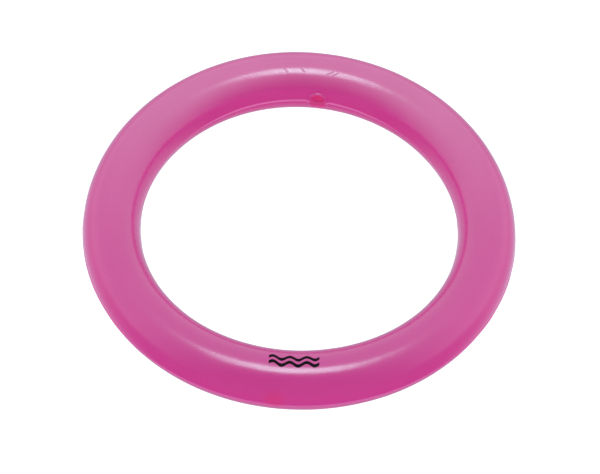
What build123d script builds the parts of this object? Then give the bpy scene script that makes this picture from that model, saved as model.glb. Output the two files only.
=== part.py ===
"""Soft dive ring: a hollow cast PVC ring, its filler plug, sealed ballast and a printed mark.

The ring lies flat. +Z is up, the origin is on the resting plane at the middle of the ring, the printed
mark faces -Y and the filler plug is near +Y. Millimetres and degrees.
"""
import os
from math import cos, radians, sin, sqrt

from build123d import *

# Ring: a round tube bent into a circle, cast hollow in a two-part mould
outer_diameter = 170.0
tube_diameter = 22.6
wall = 2.2
inner_parting_rise = 0.4  # the mould parts this far above the tube's mid-height on the inside
outer_parting_rise = -1.0  # and this far from it, below, on the outside
flash_radius = 0.32  # half-round bead left along the parting line

# Filler hole: a collar on the inner wall, a recess for the plug's head and a neck inside the tube
filler_angle = 85.0
collar_radius = 4.1
collar_height = 0.5  # even all round, so the collar follows the curved wall
recess_radius = 3.25
recess_depth = 2.8  # the plug's face sits this far below the collar's crown
neck_radius = 4.4
neck_depth = 6.0
bore_radius = 2.1

# Plug: flat head and plain stem, with a running clearance so that it pulls out
head_clearance = 0.1
head_thickness = 0.9
head_edge = 0.25
stem_clearance = 0.05
stem_depth = 6.8
stem_taper = 0.6  # chamfer that leads the stem into the bore

# Ballast: loose sand that fills the lower part of the tube up to a level top
ballast_gap = 0.1
ballast_level = 2.0  # above the tube's mid-height
ballast_keepout = 0.4  # clear space round the neck and past the plug's tip

# Printed mark: two waves across the upper inner side of the tube
ink_thickness = 0.12
mark_tilt = 5.0  # from the top of the tube towards the middle of the ring
mark_length = 19.2
wave_count = 3
wave_height = 0.8
wave_stroke = 1.5
wave_spacing = 2.7
mark_reach = 2.0  # how far the ornament is projected either side of its plane

# Derived places
tube_radius = tube_diameter / 2
ring_radius = outer_diameter / 2 - tube_radius
mid_height = tube_radius
inner_half_width = sqrt(tube_radius**2 - inner_parting_rise**2)
outer_half_width = sqrt(tube_radius**2 - outer_parting_rise**2)
inner_parting = (ring_radius - inner_half_width, mid_height + inner_parting_rise)
outer_parting = (ring_radius + outer_half_width, mid_height + outer_parting_rise)
cavity_radius = tube_radius - wall
seat_depth = recess_depth + head_thickness

# The filler plane touches the collar's crown. Its normal points to the middle of the ring.
to_middle = Vector(-cos(radians(filler_angle)), -sin(radians(filler_angle)), 0)
collar_crown = inner_parting[0] - collar_height
filler_origin = (
    collar_crown * cos(radians(filler_angle)),
    collar_crown * sin(radians(filler_angle)),
    inner_parting[1],
)
along_wall = (-sin(radians(filler_angle)), cos(radians(filler_angle)), 0)
filler_plane = Plane(origin=filler_origin, x_dir=along_wall, z_dir=to_middle)

filler_axis = Axis(origin=filler_origin, direction=to_middle)

# The mark's plane touches the tube at the middle of the mark
mark_radius = ring_radius - tube_radius * sin(radians(mark_tilt))
mark_origin = (0, -mark_radius, mid_height + tube_radius * cos(radians(mark_tilt)))
mark_normal = (0, sin(radians(mark_tilt)), cos(radians(mark_tilt)))
mark_plane = Plane(origin=mark_origin, x_dir=(1, 0, 0), z_dir=mark_normal)

os.makedirs("parts", exist_ok=True)

# Ring shell -------------------------------------------------------------------------------------
# The hollow is the inside of the tube with the neck left standing in it, then the bore and the recess
with BuildPart() as hollow:
    with BuildSketch(Plane.XZ):
        with Locations((ring_radius, mid_height)):
            Circle(cavity_radius)
    revolve(axis=Axis.Z)
    with BuildSketch(filler_plane):
        Circle(neck_radius)
    extrude(amount=-neck_depth, mode=Mode.SUBTRACT)
    with BuildSketch(filler_plane.offset(-neck_depth - wall)):
        Circle(bore_radius)
    extrude(amount=neck_depth + wall)
    with BuildSketch(filler_plane.offset(collar_height)):
        Circle(recess_radius)
    extrude(amount=-(collar_height + seat_depth))

with BuildPart() as collar:
    with BuildSketch(filler_plane.offset(collar_height)):
        Circle(collar_radius)
    extrude(amount=-(collar_height + wall))
    with Locations((0, 0, mid_height)):
        Torus(ring_radius, tube_radius + collar_height, mode=Mode.INTERSECT)

with BuildPart() as ring_shell:
    with BuildSketch(Plane.XZ):
        with Locations((ring_radius, mid_height)):
            Circle(tube_radius)
        with Locations(inner_parting, outer_parting):
            Circle(flash_radius)
    revolve(axis=Axis.Z)
    add(collar.part)
    add(hollow.part, mode=Mode.SUBTRACT)

# Filler plug ------------------------------------------------------------------------------------
with BuildPart() as filler_plug:
    with BuildSketch(filler_plane.offset(-seat_depth)):
        Circle(recess_radius - head_clearance)
    extrude(amount=head_thickness)
    with BuildSketch(filler_plane.offset(-seat_depth)):
        Circle(bore_radius - stem_clearance)
    extrude(amount=-(stem_depth - seat_depth))
    chamfer(filler_plug.faces().sort_by(filler_axis)[0].edges(), stem_taper)
    fillet(filler_plug.faces().sort_by(filler_axis)[-1].edges(), head_edge)

# Ballast ----------------------------------------------------------------------------------------
with BuildPart() as ballast_fill:
    with BuildSketch(Plane.XZ) as sand_section:
        with Locations((ring_radius, mid_height)):
            Circle(cavity_radius - ballast_gap)
        with Locations((ring_radius, mid_height + ballast_level)):
            Rectangle(
                tube_diameter,
                tube_diameter,
                align=(Align.CENTER, Align.MIN),
                mode=Mode.SUBTRACT,
            )
    revolve(axis=Axis.Z)
    with BuildSketch(filler_plane):
        Circle(neck_radius + ballast_keepout)
    extrude(amount=-(stem_depth + ballast_keepout), mode=Mode.SUBTRACT)

# Printed mark -----------------------------------------------------------------------------------


def wave_line(height):
    """A level wave from -X to +X, as arcs that bow up and down in turn."""
    bow_length = mark_length / (2 * wave_count)
    for bow in range(2 * wave_count):
        start = bow * bow_length - mark_length / 2
        rise = wave_height if bow % 2 == 0 else -wave_height
        crest = (start + bow_length / 2, height + rise)
        ThreePointArc((start, height), crest, (start + bow_length, height))


def printed_wave(height):
    """One wave of ink: its outline projected through the skin just outside the tube."""
    low, high = height - wave_stroke / 2, height + wave_stroke / 2
    with BuildPart() as wave:
        with BuildSketch(mark_plane):
            with BuildLine():
                wave_line(low)
                wave_line(high)
                Line((-mark_length / 2, low), (-mark_length / 2, high))
                Line((mark_length / 2, low), (mark_length / 2, high))
            make_face()
        extrude(amount=mark_reach, both=True)
        with Locations((0, 0, mid_height)):
            Torus(ring_radius, tube_radius + ink_thickness, mode=Mode.INTERSECT)
            Torus(ring_radius, tube_radius, mode=Mode.SUBTRACT)
    return wave.part


lower_wave = printed_wave(-wave_spacing / 2)
upper_wave = printed_wave(wave_spacing / 2)
with BuildPart() as printed_mark:
    add(lower_wave)
    add(upper_wave)

# Labels and files -------------------------------------------------------------------------------
pieces = {
    "ring_shell": ring_shell,
    "filler_plug": filler_plug,
    "ballast_fill": ballast_fill,
    "printed_mark": printed_mark,
}
for piece_name, piece in pieces.items():
    piece.part.label = piece_name
    export_step(piece.part, f"parts/{piece_name}.step")
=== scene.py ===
"""Looks of the soft dive ring: a hollow PVC ring, its filler plug and a printed wave mark."""
import math

import bpy
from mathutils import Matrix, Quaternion, Vector, noise

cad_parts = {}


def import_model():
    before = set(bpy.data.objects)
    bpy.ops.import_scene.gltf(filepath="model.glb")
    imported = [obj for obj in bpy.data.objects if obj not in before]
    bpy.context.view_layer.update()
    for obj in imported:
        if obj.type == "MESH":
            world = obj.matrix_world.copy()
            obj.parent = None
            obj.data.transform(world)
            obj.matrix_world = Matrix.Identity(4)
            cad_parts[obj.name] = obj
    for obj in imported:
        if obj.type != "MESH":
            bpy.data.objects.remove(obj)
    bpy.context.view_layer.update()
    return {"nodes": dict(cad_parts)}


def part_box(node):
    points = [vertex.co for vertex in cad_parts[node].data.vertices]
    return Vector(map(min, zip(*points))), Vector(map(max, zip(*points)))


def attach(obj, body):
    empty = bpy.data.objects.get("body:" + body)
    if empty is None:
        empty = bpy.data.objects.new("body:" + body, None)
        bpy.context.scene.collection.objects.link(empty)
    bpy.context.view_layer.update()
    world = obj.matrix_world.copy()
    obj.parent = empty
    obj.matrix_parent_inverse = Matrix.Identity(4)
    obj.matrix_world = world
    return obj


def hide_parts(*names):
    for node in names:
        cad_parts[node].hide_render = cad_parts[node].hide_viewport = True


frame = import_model()

# ---------------------------------------------------------------------------------------------------
# Sizes, in metres and radians. The ring's own come from the frame's boxes.
# ---------------------------------------------------------------------------------------------------
MM = 0.001
ring_low, ring_high = (Vector(corner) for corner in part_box("ring_shell"))
TUBE_RADIUS = (ring_high.z - ring_low.z) / 2
MID_HEIGHT = (ring_high.z + ring_low.z) / 2
WALL = 2.2 * MM
CAVITY_RADIUS = TUBE_RADIUS - WALL

# Parting lines: a fine raised bead on the inside and on the outside, each a little off mid-height
INNER_PARTING_RISE = 0.4 * MM
OUTER_PARTING_RISE = -1.0 * MM
INNER_LINE_PHI = math.pi - math.asin(INNER_PARTING_RISE / TUBE_RADIUS)
OUTER_LINE_PHI = math.asin(OUTER_PARTING_RISE / TUBE_RADIUS)
FLASH_HEIGHT = 0.32 * MM
FLASH_SPREAD = 0.27 * MM
OUTER_HALF_WIDTH = math.sqrt(TUBE_RADIUS**2 - OUTER_PARTING_RISE**2)
RING_RADIUS = (ring_high.x - ring_low.x) / 2 - OUTER_HALF_WIDTH - FLASH_HEIGHT

# The inner line is highest beside the filler hole's stiff neck. Away from it, it sags and fades. Starts and
# ends are given as one less the cosine of the angle round the ring from the crest.
LINE_CREST = math.radians(95.0)
LINE_SAG = math.radians(2.7)
SAG_START, SAG_END = 0.003, 0.15
SAG_SPREAD = 0.45
FADE_START, FADE_END = 0.05, 0.35

# The soft ring is slightly out of round, a little over half a percent, in three broad lobes
LOBE_COS = 0.0008
LOBE_SIN = -0.0054

# The soft wall swells and sinks by a few hundredths of a millimetre, broadly and finely
BROAD_SWELL = 0.045 * MM
FINE_SWELL = 0.02 * MM

# Filler hole, on the inner parting line
FILLER_ANGLE = math.radians(85.0)
FILLER_PHI = INNER_LINE_PHI
COLLAR_HEIGHT = 0.5 * MM
COLLAR_RADIUS = 4.1 * MM
COLLAR_SKIRT = 1.3 * MM
RECESS_RADIUS = 3.25 * MM
RECESS_DEPTH = 2.8 * MM
HEAD_THICKNESS = 0.9 * MM
SEAT_DEPTH = RECESS_DEPTH + HEAD_THICKNESS
NECK_RADIUS = 4.4 * MM
NECK_DEPTH = 6.0 * MM
BORE_RADIUS = 2.1 * MM
SOFT_EDGE = 0.12 * MM

# Plug
HEAD_RADIUS = 3.24 * MM
HEAD_EDGE = 0.22 * MM
STEM_RADIUS = 2.05 * MM
STEM_DEPTH = 6.8 * MM
STEM_TAPER = 0.6 * MM

# Printed mark
MARK_TILT = math.radians(5.0)
MARK_LENGTH = 19.2 * MM
WAVE_COUNT = 3
WAVE_HEIGHT = 0.8 * MM
WAVE_STROKE = 1.5 * MM
WAVE_SPACING = 2.7 * MM
WAVE_END_TAPER = 0.12 * MM
INK_HEIGHT = 0.05 * MM


# ---------------------------------------------------------------------------------------------------
# Shape of the ring
# ---------------------------------------------------------------------------------------------------
def smooth_step(low, high, value):
    """0 below low, 1 above high, smooth between."""
    t = min(max((value - low) / (high - low), 0.0), 1.0)
    return t * t * (3 - 2 * t)


def centre_radius(theta):
    """Radius of the tube's centreline, with the soft ring's three lobes."""
    return RING_RADIUS * (1 + LOBE_COS * math.cos(3 * theta) + LOBE_SIN * math.sin(3 * theta))


def tube_point(theta, phi, radius):
    """A point at an angle round the ring and an angle round the tube (0 is outward, 90 is up)."""
    reach = centre_radius(theta) + radius * math.cos(phi)
    return Vector((reach * math.cos(theta), reach * math.sin(theta), MID_HEIGHT + radius * math.sin(phi)))


# Frame of the filler hole: the origin is on the collar's face, OUT points to the middle of the ring
OUT = Vector((-math.cos(FILLER_ANGLE), -math.sin(FILLER_ANGLE), 0))
ALONG = Vector((-math.sin(FILLER_ANGLE), math.cos(FILLER_ANGLE), 0))
UP = Vector((0, 0, 1))
FILLER_ORIGIN = tube_point(FILLER_ANGLE, FILLER_PHI, TUBE_RADIUS) + OUT * COLLAR_HEIGHT


def filler_point(across, up, out):
    """A point in the filler hole's frame."""
    return FILLER_ORIGIN + ALONG * across + UP * up + OUT * out


def line_sag(theta):
    """How far down the tube the inner parting line has sagged, as an angle round the tube."""
    return LINE_SAG * smooth_step(SAG_START, SAG_END, 1 - math.cos(theta - LINE_CREST))


def sagged(theta, phi):
    """Moves an angle round the tube with the sagging line, for mesh rows that follow it."""
    return phi + line_sag(theta) * math.exp(-(((phi - INNER_LINE_PHI) / SAG_SPREAD) ** 2))


def flash_height(theta, phi):
    """Height of the parting line's bead, uneven along its length and trimmed by the filler hole."""
    inner = math.cos(phi) < 0
    line_phi = INNER_LINE_PHI + line_sag(theta) if inner else OUTER_LINE_PHI
    off = (phi - line_phi) * TUBE_RADIUS
    bead = math.exp(-((off / FLASH_SPREAD) ** 2))
    if bead < 1e-4:
        return 0.0
    noise_layer = 3.0 if inner else 17.0
    place = Vector((math.cos(theta), math.sin(theta), noise_layer)) * 9
    uneven = 0.82 + 0.3 * noise.noise(place) + 0.12 * noise.noise(place * 5)
    if inner:
        across = abs(theta - FILLER_ANGLE) * (RING_RADIUS - TUBE_RADIUS)
        uneven *= smooth_step(4.2 * MM, 7.5 * MM, across)
        uneven *= 1 - 0.5 * smooth_step(FADE_START, FADE_END, 1 - math.cos(theta - LINE_CREST))
    return FLASH_HEIGHT * bead * min(max(uneven, 0.0), 1.0)


def skin_offset(theta, phi):
    """Everything that the outer skin adds to a plain round tube."""
    place = Vector((math.cos(theta) * 6.5, math.sin(theta) * 6.5, 0)) + Vector((0, 0, math.sin(phi)))
    place += Vector((math.cos(theta), math.sin(theta), 0)) * math.cos(phi)
    swell = BROAD_SWELL * noise.noise(place * 0.9) + FINE_SWELL * noise.noise(place * 2.6)
    swell *= smooth_step(-1.0, -0.8, math.sin(phi))  # none underneath, where the ring stands
    return swell + flash_height(theta, phi)


def raised_point(theta, phi, lift):
    """A point at a height above the outer skin."""
    return tube_point(theta, phi, TUBE_RADIUS + skin_offset(theta, phi) + lift)


def skin_point(theta, phi):
    return raised_point(theta, sagged(theta, phi), 0.0)


def cavity_point(theta, phi):
    return tube_point(theta, sagged(theta, phi), CAVITY_RADIUS)


# ---------------------------------------------------------------------------------------------------
# Mesh helpers
# ---------------------------------------------------------------------------------------------------
def mesh_object(name, points, faces, material, sharp_angle=None):
    mesh = bpy.data.meshes.new(name)
    mesh.from_pydata(points, [], faces)
    mesh.validate()
    mesh.materials.append(material)
    mesh.shade_smooth()
    if sharp_angle is not None:
        mesh.set_sharp_from_angle(angle=math.radians(sharp_angle))
    made = bpy.data.objects.new(name, mesh)
    bpy.context.scene.collection.objects.link(made)
    return made


# Mesh steps, in degrees
RING_STEP, FINE_RING_STEP = 1.0, 0.4
FINE_START, FINE_END = 74.0, 102.0
TUBE_STEPS = 96
BEAD_OFFSETS = (-7.0, -5.0, -3.4, -2.4, -1.7, -1.1, -0.55, 0.0, 0.55, 1.1, 1.7, 2.4, 3.4, 5.0, 7.0)
BEAD_MARGIN = 8.0


def ring_angles():
    """Angles round the ring: even steps, and finer ones on both sides of the filler hole."""
    angles = []
    angle = -90.0
    while angle < 269.99:
        angles.append(angle)
        angle += FINE_RING_STEP if FINE_START <= angle < FINE_END else RING_STEP
    return [math.radians(angle) for angle in angles]


def tube_angles():
    """Angles round the tube: even steps, and finer ones across both parting lines."""
    lines = [math.degrees(OUTER_LINE_PHI), math.degrees(INNER_LINE_PHI)]
    angles = [line + offset for line in lines for offset in BEAD_OFFSETS]
    for step in range(TUBE_STEPS):
        angle = 360 * step / TUBE_STEPS - 90
        if all(abs((angle - line + 180) % 360 - 180) > BEAD_MARGIN for line in lines):
            angles.append(angle)
    return [math.radians(angle) for angle in sorted((angle + 90) % 360 - 90 for angle in angles)]


# ---------------------------------------------------------------------------------------------------
# Ring shell: outer skin, filler hole and cavity as one closed mesh
# ---------------------------------------------------------------------------------------------------
# Window in the skins that the filler hole's rings fill
PATCH_HALF_LENGTH = 7.6 * MM
PATCH_HALF_HEIGHT = 6.6 * MM

# Rounded edges of the collar and the recess: distance out from the radius in mm, and share of the
# collar's height
COLLAR_EDGE = ((0.75, 0.0), (0.35, 0.04), (0.16, 0.2), (0.04, 0.55), (-0.06, 0.85), (-0.25, 1.0))
RECESS_EDGE = ((0.3, 1.0), (0.12, 0.92), (0.03, 0.7), (0.0, 0.4))


def ring_shell(material):
    """Two tube skins, joined by rings of points through the collar, recess, seat, bore and neck."""
    thetas, phis = ring_angles(), tube_angles()
    around, across = len(thetas), len(phis)
    inner_reach = RING_RADIUS - TUBE_RADIUS
    columns = [i for i in range(around) if abs(thetas[i] - FILLER_ANGLE) * inner_reach <= PATCH_HALF_LENGTH]
    rows = [j for j in range(across) if abs(phis[j] - FILLER_PHI) * TUBE_RADIUS <= PATCH_HALF_HEIGHT]
    left, right, low, high = columns[0], columns[-1], rows[0], rows[-1]
    points, faces = [], []

    def add_point(point):
        points.append(point)
        return len(points) - 1

    def grid(point_at, outward):
        """A tube skin with a window left open at the filler hole. Returns its vertex numbers."""
        numbers = {}
        for i in range(around):
            for j in range(across):
                if not (left < i < right and low < j < high):
                    numbers[i, j] = add_point(point_at(thetas[i], phis[j]))
        for i in range(around):
            for j in range(across):
                if left <= i < right and low <= j < high:
                    continue
                k, m = (i + 1) % around, (j + 1) % across
                face = (numbers[i, j], numbers[k, j], numbers[k, m], numbers[i, m])
                faces.append(face if outward else face[::-1])
        return numbers

    window = [(i, low) for i in range(left, right)]
    window += [(right, j) for j in range(low, high)]
    window += [(i, high) for i in range(right, left, -1)]
    window += [(left, j) for j in range(high, low, -1)]
    spots = []
    for i, j in window:
        spots.append(((thetas[i] - FILLER_ANGLE) * inner_reach, (phis[j] - FILLER_PHI) * TUBE_RADIUS))
    headings = [math.atan2(height, length) for length, height in spots]

    def window_ring(share, radius, point_at):
        """A ring of points on a skin, between the window's edge (0) and a circle (1)."""
        ring = []
        for (length, height), heading in zip(spots, headings):
            u = length * (1 - share) + radius * math.cos(heading) * share
            v = height * (1 - share) + radius * math.sin(heading) * share
            ring.append(point_at(FILLER_ANGLE + u / inner_reach, FILLER_PHI + v / TUBE_RADIUS))
        return ring

    def circle_ring(radius, out):
        """A ring of points in the filler hole's frame. The skin's second angle grows downward here."""
        return [filler_point(radius * math.cos(h), -radius * math.sin(h), out) for h in headings]

    def mixed(ring_a, ring_b, share):
        return [a.lerp(b, share) for a, b in zip(ring_a, ring_b)]

    def stitch(ring_a, ring_b):
        count = len(ring_a)
        for k in range(count):
            n = (k + 1) % count
            faces.append((ring_a[k], ring_a[n], ring_b[n], ring_b[k]))

    outer = grid(skin_point, outward=True)
    inner = grid(cavity_point, outward=False)

    def rim_ring(radius, lift):
        """A ring on the collar, which follows the skin at an even height."""
        return window_ring(1.0, radius, lambda theta, phi: raised_point(theta, phi, lift))

    neck_foot = window_ring(1.0, NECK_RADIUS, cavity_point)
    neck_top = circle_ring(NECK_RADIUS, -NECK_DEPTH + SOFT_EDGE)
    rings = [window_ring(share, COLLAR_RADIUS + COLLAR_SKIRT, skin_point) for share in (0.25, 0.5, 0.75, 1.0)]
    rings += [rim_ring(COLLAR_RADIUS + out * MM, lift * COLLAR_HEIGHT) for out, lift in COLLAR_EDGE]
    rings += [rim_ring(RECESS_RADIUS + out * MM, lift * COLLAR_HEIGHT) for out, lift in RECESS_EDGE]
    rings += [
        circle_ring(RECESS_RADIUS, -SEAT_DEPTH + SOFT_EDGE),
        circle_ring(RECESS_RADIUS - SOFT_EDGE, -SEAT_DEPTH),
        circle_ring(BORE_RADIUS + SOFT_EDGE, -SEAT_DEPTH),
        circle_ring(BORE_RADIUS, -SEAT_DEPTH - SOFT_EDGE),
        circle_ring(BORE_RADIUS, -NECK_DEPTH + SOFT_EDGE),
        circle_ring(BORE_RADIUS + SOFT_EDGE, -NECK_DEPTH),
        circle_ring(NECK_RADIUS - SOFT_EDGE, -NECK_DEPTH),
        neck_top,
        mixed(neck_top, neck_foot, 0.5),
        neck_foot,
        window_ring(0.5, NECK_RADIUS, cavity_point),
    ]
    last = [outer[spot] for spot in window]
    for ring in rings:
        numbers = [add_point(point) for point in ring]
        stitch(last, numbers)
        last = numbers
    stitch(last, [inner[spot] for spot in window])
    return mesh_object("soft_ring_shell", points, faces, material)


# ---------------------------------------------------------------------------------------------------
# Filler plug: a turned shape about the filler hole's axis
# ---------------------------------------------------------------------------------------------------
def filler_plug(material):
    """A head with a shallow dimple in the middle of its face, and a stem with a tapered tip."""
    face = -RECESS_DEPTH
    profile = [
        (0.35 * MM, face + 0.02 * MM),
        (0.5 * MM, face + 0.1 * MM),
        (0.68 * MM, face + 0.12 * MM),
        (0.9 * MM, face + 0.08 * MM),
        (1.6 * MM, face + 0.05 * MM),
        (2.4 * MM, face + 0.02 * MM),
        (HEAD_RADIUS - HEAD_EDGE, face - 0.01 * MM),
        (HEAD_RADIUS - HEAD_EDGE * 0.3, face - HEAD_EDGE * 0.3),
        (HEAD_RADIUS, face - HEAD_EDGE),
        (HEAD_RADIUS, -SEAT_DEPTH + 0.08 * MM),
        (HEAD_RADIUS - 0.06 * MM, -SEAT_DEPTH + 0.01 * MM),
        (STEM_RADIUS + 0.1 * MM, -SEAT_DEPTH + 0.01 * MM),
        (STEM_RADIUS, -SEAT_DEPTH - 0.1 * MM),
        (STEM_RADIUS, -STEM_DEPTH + STEM_TAPER),
        (STEM_RADIUS - STEM_TAPER * 0.85, -STEM_DEPTH + 0.08 * MM),
        (STEM_RADIUS - STEM_TAPER - 0.1 * MM, -STEM_DEPTH),
    ]
    sides = 72
    points, faces = [filler_point(0, 0, face + 0.01 * MM)], []
    for radius, out in profile:
        for side in range(sides):
            turn = 2 * math.pi * side / sides
            points.append(filler_point(radius * math.cos(turn), radius * math.sin(turn), out))
    points.append(filler_point(0, 0, -STEM_DEPTH))
    end = len(points) - 1
    for side in range(sides):
        following = (side + 1) % sides
        faces.append((0, 1 + following, 1 + side))
        for level in range(len(profile) - 1):
            a, b = 1 + level * sides, 1 + (level + 1) * sides
            faces.append((a + side, a + following, b + following, b + side))
        base = 1 + (len(profile) - 1) * sides
        faces.append((end, base + side, base + following))
    return mesh_object("soft_filler_plug", points, faces, material)


# ---------------------------------------------------------------------------------------------------
# Printed mark: two ribbons of ink that follow the tube
# ---------------------------------------------------------------------------------------------------
def wave_ribbon(height, points, faces):
    """A closed ribbon along one wave, lying on the skin with its edges tucked in."""
    columns, base = 120, len(points)
    profile = [(-0.5, -0.04), (-0.47, 0.7), (-0.4, 1.0), (0.0, 1.0), (0.4, 1.0), (0.47, 0.7), (0.5, -0.04)]
    profile += [(0.0, -0.6)]
    sides = len(profile)
    bow = MARK_LENGTH / (2 * WAVE_COUNT)
    for column in range(columns + 1):
        x = MARK_LENGTH * (column / columns - 0.5)
        swing = WAVE_HEIGHT * math.sin(math.pi * (x + MARK_LENGTH / 2) / bow)
        from_end = min(column, columns - column) / columns * MARK_LENGTH
        lift = min(from_end / WAVE_END_TAPER, 1.0)
        for across, rise in profile:
            offset = height + swing + across * WAVE_STROKE
            phi = math.pi / 2 + MARK_TILT + offset / TUBE_RADIUS
            theta = -math.pi / 2 + x / (RING_RADIUS + TUBE_RADIUS * math.cos(phi))
            points.append(raised_point(theta, phi, INK_HEIGHT * (rise if rise < 0 else rise * lift)))
    for column in range(columns):
        a, b = base + column * sides, base + (column + 1) * sides
        for side in range(sides):
            following = (side + 1) % sides
            faces.append((a + side, b + side, b + following, a + following))
    faces.append(tuple(base + side for side in range(sides)))
    faces.append(tuple(base + columns * sides + side for side in reversed(range(sides))))


def printed_mark(material):
    """Two waves side by side, on the ring's top at the front."""
    points, faces = [], []
    wave_ribbon(-WAVE_SPACING / 2, points, faces)
    wave_ribbon(WAVE_SPACING / 2, points, faces)
    return mesh_object("ink_wave_mark", points, faces, material, sharp_angle=40)


# ---------------------------------------------------------------------------------------------------
# Materials
# ---------------------------------------------------------------------------------------------------
# The ring's pinks and the plug's reds. Some are named for what shows through or lies on the skin; others are
# painted shade, a painted sheen or painted light, as their names say
PINK = (0.56, 0.044, 0.26)
PINK_DEEP = (0.545, 0.039, 0.248)
PINK_PALE = (0.572, 0.049, 0.27)
PINK_LOW_SHADE = (0.58, 0.038, 0.255)
PINK_FRONT_SHADE = (0.52, 0.037, 0.24)
PINK_FLASH_LIGHT = (0.74, 0.15, 0.45)
PINK_THICK = (0.6, 0.026, 0.16)
PINK_CREASE_SHADE = (0.42, 0.05, 0.2)
PINK_GLOW = (0.5, 0.11, 0.27)
PAINTED_SHEEN_WHITE = (1.0, 1.0, 1.0)
RED = (0.61, 0.028, 0.16)
RED_DEEP = (0.58, 0.022, 0.13)
RED_PAINTED_LIT = (0.62, 0.05, 0.24)
RED_GLOW = (0.56, 0.02, 0.12)
INK_THIN = (0.012, 0.005, 0.01)
INK_FULL = (0.004, 0.003, 0.005)
SAND_LIGHT = (0.62, 0.5, 0.36)
SAND_DARK = (0.28, 0.2, 0.13)

# Shares and strengths
FRONT_SHADE_SHARE = 0.7
PAINTED_SHEEN_SHARE = 0.07
OUTER_LINE_SHARE = 0.6
INNER_LINE_SHARES = (0.95, 0.2)  # at the crest, and far from it
CREASE_SHADE_SHARE = 0.55
CREASE_ROUGHNESS = 0.5
RECESS_GLOW = 0.3
PLUG_GLOW = 0.19

# Short creases in the soft wall: angle round the ring, angle round the tube, heading, length in mm
CREASES = (
    (96.4, 110.0, 50.0, 3.2),
    (90.8, 109.0, 50.0, 3.0),
    (81.7, 111.0, -32.0, 4.0),
    (80.0, 112.0, -36.0, 3.0),
)

# Redder spots of thicker wall: place, radius, share of the redder pink
RECESS_MIDDLE = FILLER_ORIGIN - OUT * 2.2 * MM
THICK_SPOTS = (
    (FILLER_ORIGIN, 6.5 * MM, 0.15),
    (tube_point(math.radians(-94.7), math.radians(10.0), TUBE_RADIUS), 6.0 * MM, 0.55),
)


def new_material(name):
    material = bpy.data.materials.new(name)
    material.use_nodes = True
    tree = material.node_tree
    return material, tree, tree.nodes["Principled BSDF"]


def node(tree, kind, settings=(), **inputs):
    """A node with its settings and inputs, by name or as i and a number. A socket is linked."""
    made = tree.nodes.new(kind)
    for key, value in dict(settings).items():
        setattr(made, key, value)
    for key, value in inputs.items():
        socket = made.inputs[int(key[1:])] if key[0] == "i" and key[1:].isdigit() else made.inputs[key]
        if isinstance(value, bpy.types.NodeSocket):
            tree.links.new(value, socket)
        else:
            socket.default_value = value
    return made


def ramp(tree, factor, low, high, stops):
    """Maps factor from low..high to a row of colours."""
    spread = node(tree, "ShaderNodeMapRange", Value=factor)
    spread.inputs["From Min"].default_value = low
    spread.inputs["From Max"].default_value = high
    made = node(tree, "ShaderNodeValToRGB", Fac=spread.outputs["Result"])
    elements = made.color_ramp.elements
    while len(elements) < len(stops):
        elements.new(0.5)
    for element, (place, colour) in zip(elements, stops):
        element.position = place
        element.color = (*colour, 1)
    return made.outputs["Color"]


def ramped(tree, value, start, finish, low=0.0, high=1.0):
    """A number that goes smoothly from low to high as value goes from start to finish."""
    made = node(tree, "ShaderNodeMapRange", {"interpolation_type": "SMOOTHSTEP"}, Value=value)
    made.inputs["From Min"].default_value = start
    made.inputs["From Max"].default_value = finish
    made.inputs["To Min"].default_value = low
    made.inputs["To Max"].default_value = high
    return made.outputs["Result"]


def maths(tree, operation, a, b=0.0):
    return node(tree, "ShaderNodeMath", {"operation": operation}, i0=a, i1=b).outputs["Value"]


def mixed_number(tree, share, a, b):
    """A number between a and b, either of which may be a socket."""
    return node(tree, "ShaderNodeMix", {"data_type": "FLOAT"}, i0=share, i2=a, i3=b).outputs[0]


def tinted(tree, colour, tint, share):
    """Mixes a tint into a colour by a share, which may be a socket."""
    made = node(tree, "ShaderNodeMix", {"data_type": "RGBA"}, i0=share, i6=colour, i7=(*tint, 1))
    return made.outputs[2]


def vector_maths(tree, operation, a, b):
    return node(tree, "ShaderNodeVectorMath", {"operation": operation}, i0=a, i1=b)


def dot(tree, vector, way):
    return vector_maths(tree, "DOT_PRODUCT", vector, way).outputs["Value"]


def distance(tree, place, spot):
    return vector_maths(tree, "DISTANCE", place, spot).outputs["Value"]


def creased(tree, place):
    """1 along the skin's short creases and 0 elsewhere."""
    total = 0.0
    for theta, phi, heading, length in CREASES:
        theta, phi, turn = (math.radians(angle) for angle in (theta, phi, heading))
        middle = tube_point(theta, phi, TUBE_RADIUS)
        along_ring = Vector((math.sin(theta), -math.cos(theta), 0))
        down_tube = along_ring.cross((middle - tube_point(theta, phi, 0)).normalized())
        lengthwise = along_ring * math.cos(turn) + down_tube * math.sin(turn)
        sideways = down_tube * math.cos(turn) - along_ring * math.sin(turn)
        offset = vector_maths(tree, "SUBTRACT", place, middle).outputs["Vector"]
        shares = []
        for way, inner, outer in ((lengthwise, length * 0.35, length * 0.55), (sideways, 0.1, 0.45)):
            off = maths(tree, "ABSOLUTE", dot(tree, offset, way))
            shares.append(ramped(tree, off, outer * MM, inner * MM))
        total = maths(tree, "MAXIMUM", maths(tree, "MULTIPLY", *shares), total)
    return total


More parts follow.
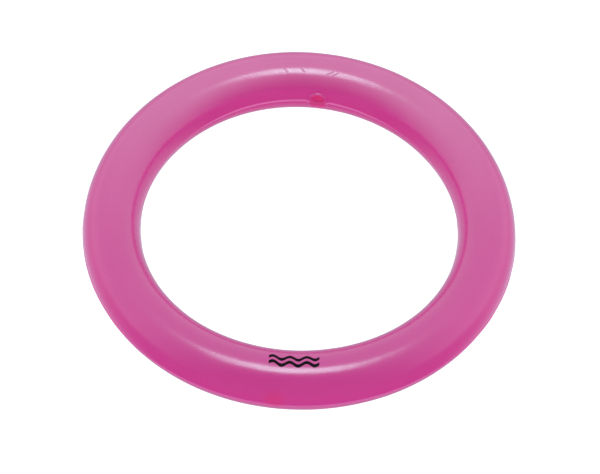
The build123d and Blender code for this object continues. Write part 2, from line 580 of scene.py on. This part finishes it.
def soft_pvc_finish(tree, shader, place, worn=0.0):
    """The moulded vinyl's skin: satin gloss with faint cloudy wear, a slow ripple and a fine grain."""
    wear = node(tree, "ShaderNodeTexNoise", Vector=place, Scale=120.0, Detail=4.0, Roughness=0.6)
    satin = ramped(tree, wear.outputs["Fac"], 0.3, 0.75, 0.2, 0.25)
    tree.links.new(mixed_number(tree, worn, satin, CREASE_ROUGHNESS), shader.inputs["Roughness"])
    ripple = node(tree, "ShaderNodeTexNoise", Vector=place, Scale=260.0, Detail=1.0)
    grain = node(tree, "ShaderNodeTexNoise", Vector=place, Scale=1500.0, Detail=2.0)
    slow = node(tree, "ShaderNodeBump", Height=ripple.outputs["Fac"], Strength=1.0, Distance=0.03 * MM)
    fine = node(tree, "ShaderNodeBump", Height=grain.outputs["Fac"], Strength=1.0, Distance=0.003 * MM)
    tree.links.new(slow.outputs["Normal"], fine.inputs["Normal"])
    tree.links.new(fine.outputs["Normal"], shader.inputs["Normal"])
    shader.inputs["IOR"].default_value = 1.5


def pink_pvc(name):
    """The ring's translucent pink PVC, coloured by what lies under and on its skin, with painted shade, a
    painted sheen and painted light.
    """
    material, tree, shader = new_material(name)
    place = node(tree, "ShaderNodeTexCoord").outputs["Object"]
    split = node(tree, "ShaderNodeSeparateXYZ", Vector=place)
    x, y, z = (split.outputs[axis] for axis in "XYZ")
    squares = [maths(tree, "MULTIPLY", value, value) for value in (x, y)]
    reach = maths(tree, "SQRT", maths(tree, "ADD", *squares))

    cloud = node(tree, "ShaderNodeTexNoise", Vector=place, Scale=38.0, Detail=3.0, Roughness=0.55)
    colour = ramp(tree, cloud.outputs["Fac"], 0.3, 0.7, [(0.0, PINK_DEEP), (0.45, PINK), (1.0, PINK_PALE)])

    # Painted shade: the lower part of the tube is painted redder, where it reflects less pale light
    low = ramped(tree, z, MID_HEIGHT + 8 * MM, MID_HEIGHT + 1 * MM)
    colour = tinted(tree, colour, PINK_LOW_SHADE, low)
    # Painted shade: the front of the ring is painted a little deeper, where it catches less reflected light
    # than the back
    front = ramped(tree, y, -40 * MM, -78 * MM, 0.0, FRONT_SHADE_SHARE)
    colour = tinted(tree, colour, PINK_FRONT_SHADE, front)

    # A painted sheen: the top is painted paler, most on the filler's side, for the brighter reflections there
    top = ramped(tree, z, MID_HEIGHT + 6.0 * MM, MID_HEIGHT + 11.0 * MM)
    filler_side = ramped(tree, y, -30 * MM, 60 * MM)
    inward = ramped(tree, reach, RING_RADIUS + 6 * MM, RING_RADIUS, 0.2, 1.0)
    top_share = maths(tree, "MULTIPLY", top, filler_side)
    inward_share = maths(tree, "MULTIPLY", inward, PAINTED_SHEEN_SHARE)
    colour = tinted(tree, colour, PAINTED_SHEEN_WHITE, maths(tree, "MULTIPLY", top_share, inward_share))

    # Painted light along the parting lines: the thin flash is painted paler for the light that comes through
    # it, most on the inside by the filler
    inner = ramped(tree, reach, RING_RADIUS, RING_RADIUS - TUBE_RADIUS / 2)
    crest = Vector((math.cos(LINE_CREST), math.sin(LINE_CREST), 0))
    away = maths(tree, "SUBTRACT", 1.0, maths(tree, "DIVIDE", dot(tree, place, crest), reach))
    sagged_rise = INNER_PARTING_RISE - LINE_SAG * TUBE_RADIUS
    inner_rise = ramped(tree, away, SAG_START, SAG_END, INNER_PARTING_RISE, sagged_rise)
    rise = mixed_number(tree, inner, OUTER_PARTING_RISE, inner_rise)
    off_line = maths(tree, "SUBTRACT", maths(tree, "SUBTRACT", z, MID_HEIGHT), rise)
    line = ramped(tree, maths(tree, "ABSOLUTE", off_line), 0.7 * MM, 0.25 * MM)
    inner_share = ramped(tree, away, FADE_START, FADE_END, *INNER_LINE_SHARES)
    line_share = mixed_number(tree, inner, OUTER_LINE_SHARE, inner_share)
    colour = tinted(tree, colour, PINK_FLASH_LIGHT, maths(tree, "MULTIPLY", line, line_share))

    # Thick spots are a deeper red: the neck round the filler hole, and a lump left by moulding
    for spot, size, share in THICK_SPOTS:
        near = ramped(tree, distance(tree, place, spot), size, size * 0.2, 0.0, share)
        colour = tinted(tree, colour, PINK_THICK, near)

    # Creases are scuffed matt, and painted a little darker as painted shade in the creases
    crease = creased(tree, place)
    colour = tinted(tree, colour, PINK_CREASE_SHADE, maths(tree, "MULTIPLY", crease, CREASE_SHADE_SHARE))

    # Painted light: the recess glows faintly, standing in for light that comes through the wall into it
    glow = ramped(tree, distance(tree, place, RECESS_MIDDLE), 4.3 * MM, 3.7 * MM, 0.0, RECESS_GLOW)
    tree.links.new(glow, shader.inputs["Emission Strength"])
    shader.inputs["Emission Color"].default_value = (*PINK_GLOW, 1)

    tree.links.new(colour, shader.inputs["Base Color"])
    soft_pvc_finish(tree, shader, place, crease)
    return material


def red_pvc(name):
    """The plug's red PVC, painted pinker towards its lower edge as painted shade under the recess's lip, with
    a faint painted glow.
    """
    material, tree, shader = new_material(name)
    place = node(tree, "ShaderNodeTexCoord").outputs["Object"]
    height = node(tree, "ShaderNodeSeparateXYZ", Vector=place).outputs["Z"]
    cloud = node(tree, "ShaderNodeTexNoise", Vector=place, Scale=420.0, Detail=3.0)
    colour = ramp(tree, cloud.outputs["Fac"], 0.3, 0.7, [(0.0, RED_DEEP), (1.0, RED)])
    middle = FILLER_ORIGIN.z
    # Painted shade: deeper red high on the face, under the recess's lip, and paler towards the lower edge
    colour = tinted(tree, colour, RED_PAINTED_LIT, ramped(tree, height, middle + 0.6 * MM, middle - 1.2 * MM))
    tree.links.new(colour, shader.inputs["Base Color"])
    # Painted light: the plug glows faintly, standing in for light that comes through the ring's wall
    shader.inputs["Emission Color"].default_value = (*RED_GLOW, 1)
    shader.inputs["Emission Strength"].default_value = PLUG_GLOW
    soft_pvc_finish(tree, shader, place)
    return material


def ink(name):
    """Black pad-printing ink: near black, matt, with a thin uneven film."""
    material, tree, shader = new_material(name)
    place = node(tree, "ShaderNodeTexCoord").outputs["Object"]
    film = node(tree, "ShaderNodeTexNoise", Vector=place, Scale=900.0, Detail=2.0)
    tone = ramp(tree, film.outputs["Fac"], 0.35, 0.7, [(0.0, INK_FULL), (1.0, INK_THIN)])
    tree.links.new(tone, shader.inputs["Base Color"])
    tree.links.new(ramped(tree, film.outputs["Fac"], 0.3, 0.7, 0.55, 0.7), shader.inputs["Roughness"])
    shader.inputs["Specular IOR Level"].default_value = 0.03
    return material


def sand(name):
    """Loose sand, for the ballast sealed inside the ring."""
    material, tree, shader = new_material(name)
    place = node(tree, "ShaderNodeTexCoord").outputs["Object"]
    grains = node(tree, "ShaderNodeTexVoronoi", Vector=place, Scale=1800.0)
    tone = ramp(tree, grains.outputs["Distance"], 0.0, 0.9, [(0.0, SAND_LIGHT), (1.0, SAND_DARK)])
    bump = node(tree, "ShaderNodeBump", Height=grains.outputs["Distance"], Strength=0.5, Distance=0.3 * MM)
    tree.links.new(tone, shader.inputs["Base Color"])
    tree.links.new(bump.outputs["Normal"], shader.inputs["Normal"])
    shader.inputs["Roughness"].default_value = 0.9
    return material


# ---------------------------------------------------------------------------------------------------
# Pieces
# ---------------------------------------------------------------------------------------------------
pvc = pink_pvc("pink_soft_pvc")
plug_pvc = red_pvc("red_soft_pvc")

shell = ring_shell(pvc)
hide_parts("ring_shell")
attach(shell, "ring")

plug = filler_plug(plug_pvc)
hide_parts("filler_plug")
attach(plug, "plug")

mark = printed_mark(ink("black_print_ink"))
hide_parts("printed_mark")
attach(mark, "ring")

ballast = frame["nodes"]["ballast_fill"]
sand_material = sand("ballast_sand")
for material_slot in ballast.material_slots:
    material_slot.material = sand_material


# ---------------------------------------------------------------------------------------------------
# Floor, studio and camera
# ---------------------------------------------------------------------------------------------------
FLOOR_HALF = 8.0
FLOOR_GLOW = 1.1
FILL_STRENGTH = 1.05
SOFTBOX_SIZE = (1.24, 0.62)
SOFTBOX_PLACE = (-0.018, 0.01, 1.77)
SOFTBOX_POWER = 31.0
SOFTBOX_TINT = (0.62, 1.0, 1.02)

# The reflected room: its tints, and how bright each part is at its dark and its bright end
DOME_RADIUS = 1.8
ROOM_TINT = (0.58, 1.0, 1.06)
HORIZON_TINT = (0.82, 1.0, 1.02)
UPPER_ROOM = (0.0, 1.8)
FRONT_FLOOR = (0.0, 0.6)
SIDE_FLOOR = (0.0, 0.95)
BACK_FLOOR = (0.0, -0.25)

# Camera. It aims a little beside the ring's middle, by these shares of its distance.
CAMERA_ELEVATION = math.radians(53.27)
CAMERA_ROLL = math.radians(2.24)
CAMERA_DISTANCE = 15.88 * RING_RADIUS
AIM_RIGHT = 0.00038
AIM_DROP = 0.00402
LENS_TO_WIDTH = 4.956  # focal length over picture width


def floor():
    """A white floor that lights the ring from below. The gloss doesn't reflect it."""
    material, _, shader = new_material("pale_floor")
    shader.inputs["Base Color"].default_value = (0.2, 0.2, 0.2, 1)
    shader.inputs["Roughness"].default_value = 1.0
    shader.inputs["Specular IOR Level"].default_value = 0.0
    shader.inputs["Emission Color"].default_value = (1, 1, 1, 1)
    shader.inputs["Emission Strength"].default_value = FLOOR_GLOW
    corners = [(x * FLOOR_HALF, y * FLOOR_HALF, 0) for x, y in ((-1, -1), (1, -1), (1, 1), (-1, 1))]
    made = mesh_object("studio_floor", corners, [(0, 1, 2, 3)], material)
    made.visible_glossy = False


def softbox():
    """A soft lamp straight overhead, brightest in the middle. The gloss sees it, the matt floor doesn't."""
    lamp = bpy.data.lights.new("studio_softbox", "AREA")
    lamp.shape = "RECTANGLE"
    lamp.size, lamp.size_y = SOFTBOX_SIZE
    lamp.color = SOFTBOX_TINT
    lamp.energy = SOFTBOX_POWER
    lamp.cycles.use_multiple_importance_sampling = False
    lamp.use_nodes = True
    tree = lamp.node_tree
    place = node(tree, "ShaderNodeNewGeometry").outputs["Parametric"]
    share = node(tree, "ShaderNodeSeparateXYZ", Vector=place).outputs["X"]
    off_middle = maths(tree, "ABSOLUTE", maths(tree, "SUBTRACT", share, 0.5))
    tree.links.new(ramped(tree, off_middle, 0.5, 0.06), tree.nodes["Emission"].inputs["Strength"])
    made = bpy.data.objects.new("studio_softbox", lamp)
    made.location = SOFTBOX_PLACE
    made.visible_camera = False
    made.visible_diffuse = False
    bpy.context.scene.collection.objects.link(made)


def reflection_dome():
    """The room that the gloss reflects: paler behind and to the sides, darker in front."""
    material = bpy.data.materials.new("studio_reflections")
    material.use_nodes = True
    material.cycles.emission_sampling = "NONE"
    tree = material.node_tree
    tree.nodes.clear()
    place = node(tree, "ShaderNodeTexCoord").outputs["Object"]
    split = node(tree, "ShaderNodeSeparateXYZ", Vector=place)
    y, z = split.outputs["Y"], split.outputs["Z"]

    sideways = maths(tree, "ABSOLUTE", split.outputs["X"])
    upper_place = maths(tree, "ADD", y, maths(tree, "MULTIPLY", sideways, 0.58))
    lower_place = maths(tree, "ADD", y, maths(tree, "MULTIPLY", sideways, 0.43))
    upper_room = ramped(tree, upper_place, -1.05, 0.9, *UPPER_ROOM)
    front_floor = ramped(tree, z, -1.46, -1.72, *FRONT_FLOOR)
    side_floor = ramped(tree, lower_place, -0.2, 1.25, *SIDE_FLOOR)
    back_floor = ramped(tree, y, 1.15, 1.6, *BACK_FLOOR)
    lower_room = maths(tree, "ADD", maths(tree, "MAXIMUM", side_floor, front_floor), back_floor)
    light = mixed_number(tree, ramped(tree, z, -0.2, 0.4), lower_room, upper_room)
    horizon = ramped(tree, maths(tree, "ABSOLUTE", z), 0.8, 0.1)
    tint = tinted(tree, (*ROOM_TINT, 1), HORIZON_TINT, horizon)
    emission = node(tree, "ShaderNodeEmission", Color=tint, Strength=light)
    output = node(tree, "ShaderNodeOutputMaterial")
    tree.links.new(emission.outputs["Emission"], output.inputs["Surface"])

    rings, sides = 48, 96
    points, faces = [], []
    for level in range(rings + 1):
        rise = math.pi * (level / rings - 0.5)
        flat, height = DOME_RADIUS * math.cos(rise), DOME_RADIUS * math.sin(rise)
        for step in range(sides):
            turn = 2 * math.pi * step / sides
            points.append((flat * math.cos(turn), flat * math.sin(turn), height))
    for level in range(rings):
        for step in range(sides):
            a, b = level * sides + step, level * sides + (step + 1) % sides
            faces.append((a, a + sides, b + sides, b))
    made = mesh_object("studio_reflection_dome", points, faces, material)
    made.visible_camera = False
    made.visible_diffuse = False
    made.visible_transmission = False
    made.visible_volume_scatter = False
    made.visible_shadow = False


def world():
    """An even white fill that the gloss doesn't reflect."""
    made = bpy.data.worlds.new("studio_fill")
    made.use_nodes = True
    background = made.node_tree.nodes["Background"]
    background.inputs["Color"].default_value = (1, 1, 1, 1)
    background.inputs["Strength"].default_value = FILL_STRENGTH
    made.cycles_visibility.glossy = False
    bpy.context.scene.world = made


def camera():
    """Looks down on the ring from the front through a long lens, turned slightly about its axis."""
    back = Vector((0, -math.cos(CAMERA_ELEVATION), math.sin(CAMERA_ELEVATION)))
    up = Vector((0, math.sin(CAMERA_ELEVATION), math.cos(CAMERA_ELEVATION)))
    right = Vector((1, 0, 0))
    centre = Vector((0, 0, MID_HEIGHT))
    eye = centre + back * CAMERA_DISTANCE
    target = centre + right * (AIM_RIGHT * CAMERA_DISTANCE) - up * (AIM_DROP * CAMERA_DISTANCE)
    data = bpy.data.cameras.new("camera")
    data.sensor_width = 36.0
    data.lens = data.sensor_width * LENS_TO_WIDTH
    data.clip_start, data.clip_end = 0.01, 100.0
    made = bpy.data.objects.new("camera", data)
    made.location = eye
    made.rotation_mode = "QUATERNION"
    aim = (target - eye).to_track_quat("-Z", "Y")
    made.rotation_quaternion = aim @ Quaternion((0, 0, 1), CAMERA_ROLL)
    bpy.context.scene.collection.objects.link(made)
    bpy.context.scene.camera = made


bpy.context.scene.view_settings.view_transform = "Standard"
floor()
softbox()
reflection_dome()
world()
camera()
